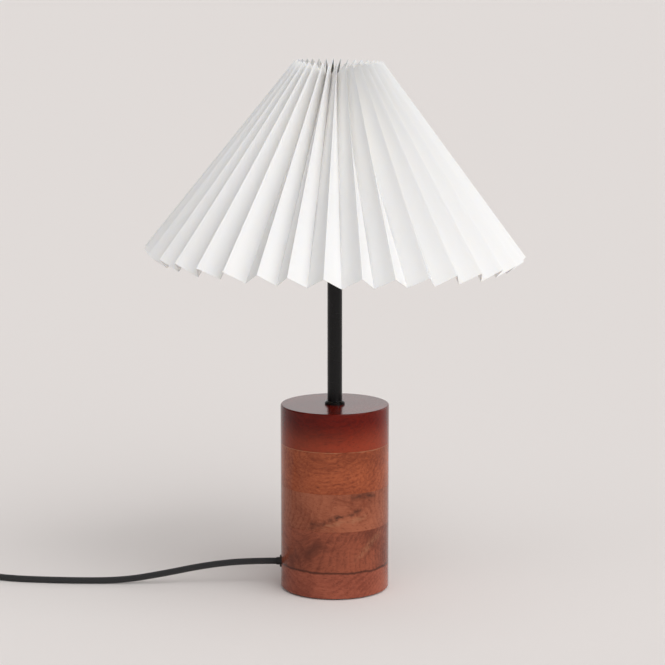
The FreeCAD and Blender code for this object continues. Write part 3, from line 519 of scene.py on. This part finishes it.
def fold_place(tree, fold, along, inputs):
    """The place on one straight fold, at a share of its length from the neck."""
    folds = maths(tree, "MULTIPLY", inputs["Pleats"], 2.0)
    drop = maths(tree, "SUBTRACT", inputs["Neck Height"], inputs["Hem Height"])
    spread = maths(tree, "SUBTRACT", inputs["Hem Radius"], inputs["Neck Radius"])
    length = maths(tree, "SQRT", maths(tree, "ADD", maths(tree, "MULTIPLY", drop, drop),
                                       maths(tree, "MULTIPLY", spread, spread)))
    inner = maths(tree, "PINGPONG", fold, 1.0)
    same = maths(tree, "FLOORED_MODULO", maths(tree, "ROUND", fold), folds)
    depth = blend_numbers(tree, along, inputs["Neck Depth"], inputs["Hem Depth"])
    uneven = maths(tree, "MULTIPLY", chance(tree, same, inputs, 1), inputs["Depth Change"])
    depth = maths(tree, "MULTIPLY", maths(tree, "MULTIPLY", depth, inner), maths(tree, "ADD", uneven, 1.0))
    edge = maths(tree, "MULTIPLY", chance(tree, same, inputs, 2), inputs["Edge Change"])
    reach = maths(tree, "ADD", along, maths(tree, "DIVIDE", maths(tree, "MULTIPLY", edge, along), length))
    radius = blend_numbers(tree, reach, inputs["Neck Radius"], inputs["Hem Radius"])
    height = blend_numbers(tree, reach, inputs["Neck Height"], inputs["Hem Height"])
    inward = maths(tree, "DIVIDE", maths(tree, "MULTIPLY", drop, depth), length)
    down = maths(tree, "DIVIDE", maths(tree, "MULTIPLY", spread, depth), length)
    radius = maths(tree, "SUBTRACT", radius, inward)
    height = maths(tree, "SUBTRACT", height, down)
    wander = maths(tree, "MULTIPLY", chance(tree, same, inputs, 3), inputs["Wander"])
    step = maths(tree, "DIVIDE", 2 * math.pi, folds)
    turned = maths(tree, "ADD", wander, maths(tree, "MULTIPLY", fold, step))
    angle = maths(tree, "ADD", inputs["First Fold"], turned)
    across = maths(tree, "MULTIPLY", radius, maths(tree, "COSINE", angle))
    back = maths(tree, "MULTIPLY", radius, maths(tree, "SINE", angle))
    return put(tree, "ShaderNodeCombineXYZ", {0: across, 1: back, 2: height}).outputs[0]


def leaning(tree, place, along, inner, inputs):
    """The sheet leans to the right, but hardly at the neck's inner folds, which rest on their ring."""
    free = maths(tree, "SUBTRACT", 1.0, maths(tree, "MULTIPLY", inner, neck_hold))
    at_neck = maths(tree, "SUBTRACT", 1.0, along)
    shift = maths(tree, "MULTIPLY", maths(tree, "MULTIPLY", at_neck, free), inputs["Lean Shift"])
    tilt = maths(tree, "ADD", along, maths(tree, "MULTIPLY", at_neck, free))
    across = put(tree, "ShaderNodeSeparateXYZ", {0: place}).outputs[0]
    sink = maths(tree, "MULTIPLY", across, maths(tree, "SINE", inputs["Lean"]))
    down = maths(tree, "MULTIPLY", maths(tree, "MULTIPLY", sink, tilt), -1.0)
    offset = put(tree, "ShaderNodeCombineXYZ", {0: shift, 2: down}).outputs[0]
    return vectors(tree, "ADD", place, offset)


def pleating_tree(sizes, material):
    """Lay out a flat grid, work out where each of its points goes, and close it into a ring."""
    tree, inputs = new_tree("pleated_paper", sizes)
    folds = maths(tree, "MULTIPLY", inputs["Pleats"], 2.0)
    columns = maths(tree, "ADD", maths(tree, "MULTIPLY", folds, inputs["Columns"]), 1.0)
    grid_sizes = {"Size X": 1.0, "Size Y": 1.0, "Vertices X": columns, "Vertices Y": inputs["Rows"]}
    grid = put(tree, "GeometryNodeMeshGrid", grid_sizes)
    flat = put(tree, "ShaderNodeSeparateXYZ", {0: put(tree, "GeometryNodeInputPosition").outputs[0]})
    even = maths(tree, "MULTIPLY", maths(tree, "ADD", flat.outputs[0], 0.5), folds)
    fold = maths(tree, "FLOOR", maths(tree, "ADD", even, fold_nudge))
    share = maths(tree, "SUBTRACT", even, fold)
    wave = maths(tree, "SINE", maths(tree, "MULTIPLY", share, 2 * math.pi))
    share = maths(tree, "SUBTRACT", share, maths(tree, "MULTIPLY", wave, inputs["Crowding"]))
    rows = maths(tree, "ADD", flat.outputs[1], 0.5)
    crowded = maths(tree, "ADD", maths(tree, "MULTIPLY", rows, row_share), 1.0 - row_share)
    along = maths(tree, "MULTIPLY", rows, crowded)
    near = fold_place(tree, fold, along, inputs)
    far = fold_place(tree, maths(tree, "ADD", fold, 1.0), along, inputs)
    place = put(tree, "ShaderNodeMix", {0: share, 4: near, 5: far}, data_type="VECTOR").outputs[1]
    inner = maths(tree, "PINGPONG", maths(tree, "ADD", fold, share), 1.0)
    place = leaning(tree, place, along, inner, inputs)
    sheet = grid.outputs[0]
    # Both are worked out from where the points are, so they are stored before the points move.
    for name, value in (("inner", inner), ("along", along)):
        stored = {"Geometry": sheet, "Name": name, "Value": value}
        store = put(tree, "GeometryNodeStoreNamedAttribute", stored, data_type="FLOAT", domain="POINT")
        sheet = store.outputs[0]
    sheet = put(tree, "GeometryNodeSetPosition", {"Geometry": sheet, "Position": place}).outputs[0]
    weld = {"Geometry": sheet, "Distance": weld_distance}
    closed = put(tree, "GeometryNodeMergeByDistance", weld).outputs[0]
    smooth = put(tree, "GeometryNodeSetShadeSmooth", {"Geometry": closed}).outputs[0]
    real = put(tree, "GeometryNodeRealizeInstances", {"Geometry": smooth}).outputs[0]
    dressed = put(tree, "GeometryNodeSetMaterial", {"Geometry": real, "Material": material}).outputs[0]
    tree.links.new(dressed, put(tree, "NodeGroupOutput").inputs[0])
    return tree


# %% Grow a piece from its tree
crease_angle = math.radians(24)          # folds sharper than this stay crisp


def grown(name, tree, sizes, thickness):
    """Run the tree with its sizes, give the sheet its thickness and keep the result as a plain mesh."""
    holder = bpy.data.objects.new(name + "_holder", bpy.data.meshes.new(name + "_holder"))
    bpy.context.scene.collection.objects.link(holder)
    nodes = holder.modifiers.new("grow", "NODES")
    nodes.node_group = tree
    for socket in tree.interface.items_tree:
        if socket.in_out == "INPUT":
            nodes[socket.identifier] = sizes[socket.name]
    solid = holder.modifiers.new("thickness", "SOLIDIFY")
    solid.thickness = thickness
    solid.offset = -1.0                   # the sheet stays as one face of the paper
    seen = holder.evaluated_get(bpy.context.evaluated_depsgraph_get())
    mesh = bpy.data.meshes.new_from_object(seen)
    bpy.data.objects.remove(holder)
    mesh.name = name
    material = mesh.materials[-1]
    mesh.materials.clear()                # the grid brings an empty slot before the material's own
    mesh.materials.append(material)
    mesh.polygons.foreach_set("material_index", [0] * len(mesh.polygons))
    mesh.set_sharp_from_angle(angle=crease_angle)
    piece = bpy.data.objects.new(name, mesh)
    bpy.context.scene.collection.objects.link(piece)
    print(name, "has", len(mesh.vertices), "points and", len(mesh.polygons), "faces")
    return piece


# %% [markdown]
# ### The paper
# White paper is matt, and thin enough to let some light through. Light that falls into a deep pleat
# bounces between its walls and picks up a little warmth, most of all near the gathered neck. The
# inner folds near the neck have a lighter, warmer colour, which stands for that bounced light.

# %% Paper finish
paper_colour = (0.83, 0.83, 0.828)
neck_colour = (0.97, 0.955, 0.93)
neck_reach = 0.75                         # share of a fold's length over which this colour fades
full_inner = 0.7                          # how far into the pleat it is at its full strength


def paper_finish():
    material, tree, shader, place = finish_of("white_paper", paper_colour, 0.78,
                                              Specular_IOR_Level=0.2, Subsurface_Weight=0.6,
                                              Subsurface_Scale=0.0004)
    shader.inputs["Subsurface Radius"].default_value = (1.0, 0.92, 0.8)
    fibres = noise(tree, place, scale=900.0, detail=3.0)
    inner = put(tree, "ShaderNodeAttribute", attribute_name="inner").outputs["Fac"]
    along = put(tree, "ShaderNodeAttribute", attribute_name="along").outputs["Fac"]
    near_neck = stepped(tree, along, neck_reach, 0.0)
    warm = maths(tree, "MULTIPLY", stepped(tree, inner, 0.0, full_inner), near_neck)
    shifted_colour(tree, shader, warm, paper_colour, neck_colour)
    relief(tree, shader, fibres, 0.00002)
    return material


white_paper = paper_finish()
shade = grown("shade_pleats", pleating_tree(shade_sizes, white_paper), shade_sizes, paper_thick)
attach(shade, "shade")
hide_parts("shade_paper")

# %% [markdown]
# ## Wood
# The foot is glued up from five boards, and each was sawn from another place in the log, so every
# board gets its own direction, pith and colour. The grain is made of yearly rings round the pith,
# cut by the round outside, with fine fibres and dark pores drawn out along them, under a satin
# lacquer.

# %% Wood finish
def near_line(tree, place, start, end, reach):
    """1 on the line from start to end, fading to 0 at the reach."""
    way = [last - first for first, last in zip(start, end)]
    length_squared = sum(part * part for part in way)
    from_start = vectors(tree, "SUBTRACT", place, start)
    along = measured(tree, "DOT_PRODUCT", from_start, way)
    share = put(tree, "ShaderNodeClamp", {0: maths(tree, "DIVIDE", along, length_squared)}).outputs[0]
    away = measured(tree, "DISTANCE", from_start, scaled(tree, way, share))
    return stepped(tree, away, reach, 0.0)


def bent(tree, place, scale, reach):
    """The place, pushed about by noise, by up to half the reach each way."""
    push = put(tree, "ShaderNodeTexNoise", {"Vector": place, "Scale": scale, "Detail": 2.0}).outputs["Color"]
    push = vectors(tree, "SUBTRACT", push, (0.5, 0.5, 0.5))
    return vectors(tree, "ADD", place, scaled(tree, push, reach))


rings_per_metre = 260.0
along_grain = (0.10, 1.0, 1.0)            # draws a pattern out to ten times its width
pore_colour = (0.030, 0.009, 0.006)
pore_strength = 0.45


def board_finish(name, light, dark, grain_turn, grain_tilt, pith, seed, figure=0.45,
                 marks=(), lines=(), fade=None):
    """One board: its two colours, the lie of its grain, its pith and what marks it has."""
    material, tree, shader, place = finish_of(name, light, 0.5, Specular_IOR_Level=0.0, Coat_Weight=1.0,
                                              Coat_Roughness=0.20, Coat_IOR=1.26)
    lie = {"Vector": place, "Rotation": (0.0, grain_tilt, grain_turn)}
    turned = put(tree, "ShaderNodeMapping", lie, vector_type="POINT").outputs[0]
    moved = vectors(tree, "SUBTRACT", bent(tree, turned, 30.0, 0.012), (0.0, *pith))
    from_pith = measured(tree, "LENGTH", vectors(tree, "MULTIPLY", moved, along_grain))
    ring = maths(tree, "FRACT", maths(tree, "MULTIPLY", from_pith, rings_per_metre))
    late = stepped(tree, ring, 0.35, 1.0)
    cloud = noise(tree, moved, 30.0, 3.0, (0.5, 1.0, 1.0), seed)
    fibres = noise(tree, moved, 420.0, 4.0, along_grain, seed + 2.0)
    mottle = noise(tree, bent(tree, moved, 140.0, 0.006), 560.0, 2.0, (0.42, 1.0, 1.0), seed + 4.0)
    pores = stepped(tree, noise(tree, moved, 1300.0, 1.0, (0.08, 1.0, 1.0), seed + 5.0), 0.60, 0.72)
    grain = maths(tree, "ADD", maths(tree, "MULTIPLY", fibres, 0.5), maths(tree, "MULTIPLY", late, -0.10))
    grain = maths(tree, "ADD", grain, maths(tree, "MULTIPLY", maths(tree, "SUBTRACT", mottle, 0.5), figure))
    grain = maths(tree, "ADD", grain, maths(tree, "MULTIPLY", maths(tree, "SUBTRACT", cloud, 0.5), 1.1))
    colour = blend_colours(tree, stepped(tree, grain, -0.10, 0.52), (*dark, 1.0), (*light, 1.0))
    # A fade adds a brown colour towards the board's bottom: none above the higher height, all of it below the
    # lower one.
    if fade:
        low, high, faded = fade
        height = put(tree, "ShaderNodeSeparateXYZ", {0: bent(tree, place, 25.0, 0.012)}).outputs[2]
        colour = blend_colours(tree, stepped(tree, height, high, low), colour, (*faded, 1.0), "ADD")
    ragged = bent(tree, bent(tree, place, 60.0, 0.012), 300.0, 0.004)
    for start, end, reach, strength, tone in marks:
        mark = maths(tree, "MULTIPLY", near_line(tree, ragged, start, end, reach), strength)
        mark = maths(tree, "MULTIPLY", mark, stepped(tree, fibres, 0.25, 0.6))
        colour = blend_colours(tree, mark, colour, (*tone, 1.0))
    height = put(tree, "ShaderNodeSeparateXYZ", {0: bent(tree, place, 90.0, 0.003)}).outputs[2]
    for line_height, reach, strength, tone in lines:
        away = maths(tree, "ABSOLUTE", maths(tree, "SUBTRACT", height, line_height))
        line = maths(tree, "MULTIPLY", stepped(tree, away, reach, reach * 0.2), strength)
        colour = blend_colours(tree, line, colour, (*tone, 1.0))
    colour = blend_colours(tree, maths(tree, "MULTIPLY", pores, pore_strength), colour, (*pore_colour, 1.0))
    tree.links.new(colour, shader.inputs["Base Color"])
    relief(tree, shader, maths(tree, "SUBTRACT", fibres, pores), 0.00002)
    return material


# %% The five boards
dark_tone = (0.050, 0.017, 0.011)
pale_tone = (0.40, 0.18, 0.095)
glue_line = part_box("base_board_1")[1][2]
top_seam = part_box("base_board_5")[0][2]
dark_glue = (glue_line, 0.0016, 0.75, dark_tone)
# A pale line painted along the top seam, on the board just below it.
pale_seam_line = (top_seam, 0.0009, 0.45, pale_tone)
board_finishes = [
    board_finish("lowest_board", light=(0.36, 0.098, 0.056), dark=(0.19, 0.045, 0.026), grain_turn=0.25,
                 grain_tilt=0.03, pith=(0.05, -0.07), seed=1.0, lines=[dark_glue]),
    board_finish("diagonal_board", light=(0.30, 0.080, 0.042), dark=(0.13, 0.032, 0.018), grain_turn=0.5,
                 grain_tilt=0.30, pith=(0.03, 0.02), seed=2.0,
                 marks=[((0.020, -0.05, 0.038), (0.042, -0.03, 0.058), 0.006, 0.4, pale_tone),
                        ((-0.040, -0.03, 0.036), (-0.015, -0.05, 0.050), 0.008, 0.4, dark_tone)],
                 lines=[dark_glue]),
    board_finish("streaked_board", light=(0.35, 0.108, 0.056), dark=(0.19, 0.047, 0.023), grain_turn=-0.15,
                 grain_tilt=-0.12, pith=(0.07, 0.10), seed=6.0,
                 marks=[((-0.024, -0.046, 0.0685), (-0.010, -0.050, 0.0735), 0.0046, 1.0, dark_tone),
                        ((-0.008, -0.051, 0.0750), (0.024, -0.046, 0.0825), 0.0034, 0.9, dark_tone),
                        ((0.017, -0.048, 0.0965), (0.037, -0.036, 0.0950), 0.0050, 0.8, dark_tone),
                        ((-0.012, -0.051, 0.0700), (0.028, -0.044, 0.0765), 0.0040, 0.5, pale_tone)]),
    board_finish("curly_board", light=(0.39, 0.098, 0.040), dark=(0.21, 0.045, 0.019), grain_turn=0.1,
                 grain_tilt=0.05, pith=(-0.06, 0.14), seed=8.0, figure=0.8, lines=[pale_seam_line]),
    board_finish("top_board", light=(0.150, 0.0065, 0.0012), dark=(0.080, 0.0030, 0.0006), grain_turn=0.15,
                 grain_tilt=0.02, pith=(0.09, 0.05), seed=11.0, figure=0.7,
                 fade=(0.138, 0.166, (0.13, 0.034, 0.016))),
]


def repaint(node, material):
    """Give a CAD node its finish."""
    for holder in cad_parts[node].material_slots:
        holder.material = material


for number, material in enumerate(board_finishes, start=1):
    repaint(f"base_board_{number}", material)
print("boards finished:", len(board_finishes))

# %% [markdown]
# ## Metal and plastic
# The stem is satin black metal. The lampholder, bushing, switch and plug are black plastic, which is
# a little browner and duller, with the fine grain of a mould.

# %% Plain finishes
def speckled_finish(name, colour, roughness, grain, depth, **sockets):
    """A plain finish whose surface has a fine grain and slightly uneven gloss."""
    material, tree, shader, place = finish_of(name, colour, roughness, **sockets)
    dust = noise(tree, place, scale=grain)
    uneven = noise(tree, place, scale=60.0)
    gloss = stepped(tree, uneven, 0.3, 0.7, roughness - 0.04, roughness + 0.05)
    tree.links.new(gloss, shader.inputs["Roughness"])
    relief(tree, shader, dust, depth)
    return material


black_metal = speckled_finish("satin_black_metal", (0.0035, 0.0032, 0.0035), 0.27, 2600.0, 0.000008,
                              Specular_IOR_Level=0.25)
black_plastic = speckled_finish("black_plastic", (0.008, 0.008, 0.008), 0.42, 2200.0, 0.00002,
                                Specular_IOR_Level=0.3)
holder_black = speckled_finish("holder_black", (0.016, 0.016, 0.016), 0.4, 1800.0, 0.00001)
steel = speckled_finish("zinc_steel", (0.55, 0.55, 0.56), 0.35, 900.0, 0.00001, Metallic=1.0)
white_metal = speckled_finish("white_enamel", (0.78, 0.78, 0.76), 0.35, 1500.0, 0.00001)
brass = speckled_finish("brass", (0.72, 0.52, 0.24), 0.3, 900.0, 0.00001, Metallic=1.0)
bright_cap = speckled_finish("plated_brass", (0.74, 0.66, 0.50), 0.25, 900.0, 0.00001, Metallic=1.0)
pin_nickel = speckled_finish("nickel", (0.68, 0.67, 0.63), 0.22, 1200.0, 0.000005, Metallic=1.0)
ceramic = speckled_finish("ceramic", (0.75, 0.73, 0.68), 0.3, 800.0, 0.00001)
black_glaze = speckled_finish("black_glaze", (0.02, 0.02, 0.02), 0.2, 800.0, 0.00001)
solder = speckled_finish("solder", (0.6, 0.6, 0.6), 0.4, 700.0, 0.00004, Metallic=1.0)
fibreboard = speckled_finish("fibreboard", (0.22, 0.13, 0.075), 0.7, 1200.0, 0.00006)
felt = speckled_finish("felt", (0.02, 0.02, 0.02), 0.95, 1500.0, 0.0002, Sheen_Weight=0.5)
lead_plastic = speckled_finish("lead_plastic", (0.12, 0.04, 0.02), 0.4, 1500.0, 0.00001)
thread = speckled_finish("thread", (0.78, 0.76, 0.70), 0.85, 3000.0, 0.0001, Sheen_Weight=0.3)
opal = speckled_finish("opal_glass", (0.86, 0.85, 0.83), 0.18, 400.0, 0.000002, Coat_Weight=0.6)

finishes = {
    black_metal: ("stem_tube", "stem_collar"),
    holder_black: ("holder_cap", "holder_mantle", "clamp_ring"),
    black_plastic: ("cable_bushing", "cord_stop", "switch_lower", "switch_upper", "switch_rocker",
                    "plug_body"),
    steel: ("cover_screws", "rod_washer", "rod_nut", "threaded_rod", "cord_stop_screw", "switch_screws",
            "rocker_pivot"),
    white_metal: ("fitter_ring", "carrier_legs", "top_ring"),
    brass: ("centre_contact", "side_contacts", "terminals"),
    bright_cap: ("bulb_cap",),
    pin_nickel: ("plug_pins",),
    ceramic: ("holder_insert",),
    black_glaze: ("bulb_insulator",),
    solder: ("bulb_contact",),
    fibreboard: ("base_cover",),
    black_braid: ("inner_cable",),
    lead_plastic: ("lead_wires",),
    opal: ("bulb_glass",),
}
for material, nodes in finishes.items():
    for node in nodes:
        repaint(node, material)
print("nodes finished:", sum(len(nodes) for nodes in finishes.values()))

# %% [markdown]
# ## Drawstring
# A thin cotton string runs round the inner folds just below the neck and gathers them on the wire
# carrier. It is three yarns twisted together, so three helices follow one ring.

# %% Twist the drawstring
def one_piece(name, pieces):
    """Join separate meshes into one object."""
    combined = bmesh.new()
    for piece in pieces:
        combined.from_mesh(piece.data)
    mesh = bpy.data.meshes.new(name)
    combined.to_mesh(mesh)
    combined.free()
    mesh.materials.append(pieces[0].data.materials[0])
    for piece in pieces:
        bpy.data.objects.remove(piece)
    result = bpy.data.objects.new(name, mesh)
    bpy.context.scene.collection.objects.link(result)
    return result


string_low, string_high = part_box("shade_drawstring")
string_width = string_high[2] - string_low[2]
string_ring = string_high[0] - string_width / 2
string_height = string_low[2] + string_width / 2
string_twists = 46
steps_per_twist = 12
string_steps = string_twists * steps_per_twist
yarn_count = 3
yarn_sides = 8
yarn_step = 0.0006
yarn_offset = string_width * 0.26
yarn_radius = string_width * 0.23


def yarn_point(yarn, step):
    turn = 2 * math.pi * step / string_steps
    twist = string_twists * turn + 2 * math.pi * yarn / yarn_count
    radius = string_ring + yarn_offset * math.cos(twist)
    height = string_height + yarn_offset * math.sin(twist)
    return Vector((radius * math.cos(turn), radius * math.sin(turn), height))


yarns = []
for yarn in range(yarn_count):
    helix = [yarn_point(yarn, step) for step in range(string_steps + 1)]
    yarns.append(tube_along(f"yarn_{yarn}", helix, yarn_radius, yarn_sides, yarn_step, thread))
drawstring = one_piece("drawstring", yarns)
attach(drawstring, "shade")
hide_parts("shade_drawstring")
print("drawstring points:", len(drawstring.data.vertices))

# %% [markdown]
# ## Cord tie
# The spare cord is held by a short woven strap. The strap is a flat band with softly rounded edges,
# bent round the turns, and its plain weave runs along and across it. The strap is one of the pieces
# on the cord that runs to the plug.

# %% Bend the strap
tie_low, tie_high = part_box("coil_tie")
tie_thick = 0.001
tie_corner = 0.0030
tie_corner_steps = 6
strap_yarns = 1600.0                      # to the metre
weave_depth = 0.0002
tie_middle = (tie_low[1] + tie_high[1]) / 2
tie_half_width = (tie_high[1] - tie_low[1]) / 2


def strap_loop():
    """Rounded rectangle halfway through the strap: each point with its outward direction."""
    inset = tie_corner
    centres = [(tie_high[0] - inset, tie_high[2] - inset), (tie_low[0] + inset, tie_high[2] - inset),
               (tie_low[0] + inset, tie_low[2] + inset), (tie_high[0] - inset, tie_low[2] + inset)]
    loop = []
    for quarter, (across, up) in enumerate(centres):
        for step in range(tie_corner_steps + 1):
            turn = math.pi / 2 * (quarter + step / tie_corner_steps)
            outward = Vector((math.cos(turn), 0.0, math.sin(turn)))
            loop.append((Vector((across, tie_middle, up)) + outward * (tie_corner - tie_thick / 2), outward))
    return loop


strap_section = [(-1.0, 0.0), (-0.96, 0.75), (-0.85, 1.0), (-0.4, 0.94), (0.0, 1.0), (0.4, 0.94), (0.85, 1.0),
                 (0.96, 0.75), (1.0, 0.0), (0.96, -0.75), (0.85, -1.0), (-0.85, -1.0), (-0.96, -0.75)]
loop = strap_loop()
sides = len(strap_section)
places = [point + Vector((0.0, tie_half_width * across, 0.0)) + outward * (tie_thick / 2 * up)
          for point, outward in loop for across, up in strap_section]
faces = []
for index in range(len(loop)):
    after = (index + 1) % len(loop)
    for side in range(sides):
        beside = (side + 1) % sides
        faces.append((index * sides + side, after * sides + side,
                      after * sides + beside, index * sides + beside))
# The strap's weave is painted shade too: darker down in the hollows between its yarns than on their crests.
strap_cloth = woven_finish("strap_cloth", (0.003, 0.003, 0.003), (0.030, 0.030, 0.032), strap_yarns,
                           [(1.0, 0.0), (0.0, 1.0)], weave_depth, Sheen_Weight=0.1)
strap = mesh_piece("strap", places, faces, strap_cloth)
strap_map = strap.data.uv_layers.new(name="UVMap")
distances = [0.0]
for (point, _), (next_point, _) in zip(loop, loop[1:] + loop[:1]):
    distances.append(distances[-1] + (next_point - point).length)
for face in strap.data.polygons:
    index = face.index // sides
    for corner, ahead in zip(face.loop_indices, (0, 1, 1, 0)):
        point = strap.data.vertices[strap.data.loops[corner].vertex_index].co
        strap_map.data[corner].uv = (distances[index + ahead], point.y - tie_low[1])
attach(strap, "lamp")
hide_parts("coil_tie")
print("strap points:", len(strap.data.vertices))

# %% [markdown]
# ## Felt pad
# A disc of pressed felt under the foot keeps it from scratching the table. Its cut edge is a little
# soft and uneven.

# %% Cut the pad
pad_low, pad_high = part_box("foot_pad")
pad_radius = pad_high[0]
pad_height = pad_high[2] - pad_low[2]
pad_edge = 0.0005
pad_sides = 180
edge_lumps = 9                            # how fine the unevenness of the cut edge is
edge_spread = 200                         # how fast it changes over the felt's small height
edge_uneven = pad_edge * 0.8
pad_rings = [(0.0, 0.0), (0.5, 0.0), (0.9, 0.0), (1.0, pad_edge), (1.0, pad_height - pad_edge),
             (0.9, pad_height), (0.5, pad_height), (0.0, pad_height)]


def pad_point(share, height, side):
    turn = 2 * math.pi * side / pad_sides
    radius = (pad_radius - pad_edge) * share
    if share == 1.0:
        edge = Vector((math.cos(turn), math.sin(turn), height * edge_spread))
        radius += edge_uneven * noises.noise(edge * edge_lumps)
    return Vector((radius * math.cos(turn), radius * math.sin(turn), pad_low[2] + height))


pad_places = [pad_point(share, height, side) for share, height in pad_rings for side in range(pad_sides)]
pad_faces = []
for ring in range(len(pad_rings) - 1):
    for side in range(pad_sides):
        beside = (side + 1) % pad_sides
        pad_faces.append((ring * pad_sides + beside, ring * pad_sides + side,
                          (ring + 1) * pad_sides + side, (ring + 1) * pad_sides + beside))
pad = mesh_piece("felt_pad", pad_places, pad_faces, felt)
welded = bmesh.new()
welded.from_mesh(pad.data)
bmesh.ops.remove_doubles(welded, verts=welded.verts, dist=0.000001)
bmesh.ops.recalc_face_normals(welded, faces=welded.faces)
welded.to_mesh(pad.data)
welded.free()
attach(pad, "lamp")
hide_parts("foot_pad")
print("pad points:", len(pad.data.vertices))
